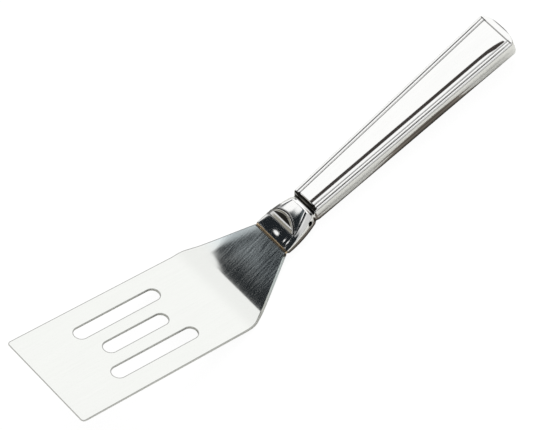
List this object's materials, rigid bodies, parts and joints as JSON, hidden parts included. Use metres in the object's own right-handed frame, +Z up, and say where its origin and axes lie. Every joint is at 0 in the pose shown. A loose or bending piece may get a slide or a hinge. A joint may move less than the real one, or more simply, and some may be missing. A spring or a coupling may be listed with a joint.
{
  "type": "brownie spatula",
  "caption": "Slotted flat metal spatula with an offset, tapered root and a hollow bordered handle, for lifting squares of brownie or cake out of a pan.",
  "frame": {"origin": "centre of the footprint on the table, in the middle of the overall length and width", "axes": "+X from the blade's front edge to the butt of the handle, +Y across the blade, +Z up from the table on which the heel and the collar of the handle rest"},
  "size_m": [0.2454, 0.051, 0.0361],
  "materials": {
    "polished_steel": "mirror-polished stainless steel with fine length-wise polishing lines",
    "braze": "satin golden braze",
    "handle_steel": "mirror-polished steel, softly worn"
  },
  "bodies": {
    "root": {"blade": "polished_steel", "brazed_bead": "braze", "handle_front": "handle_steel", "handle_back": "handle_steel"}
  },
  "joints": []
}
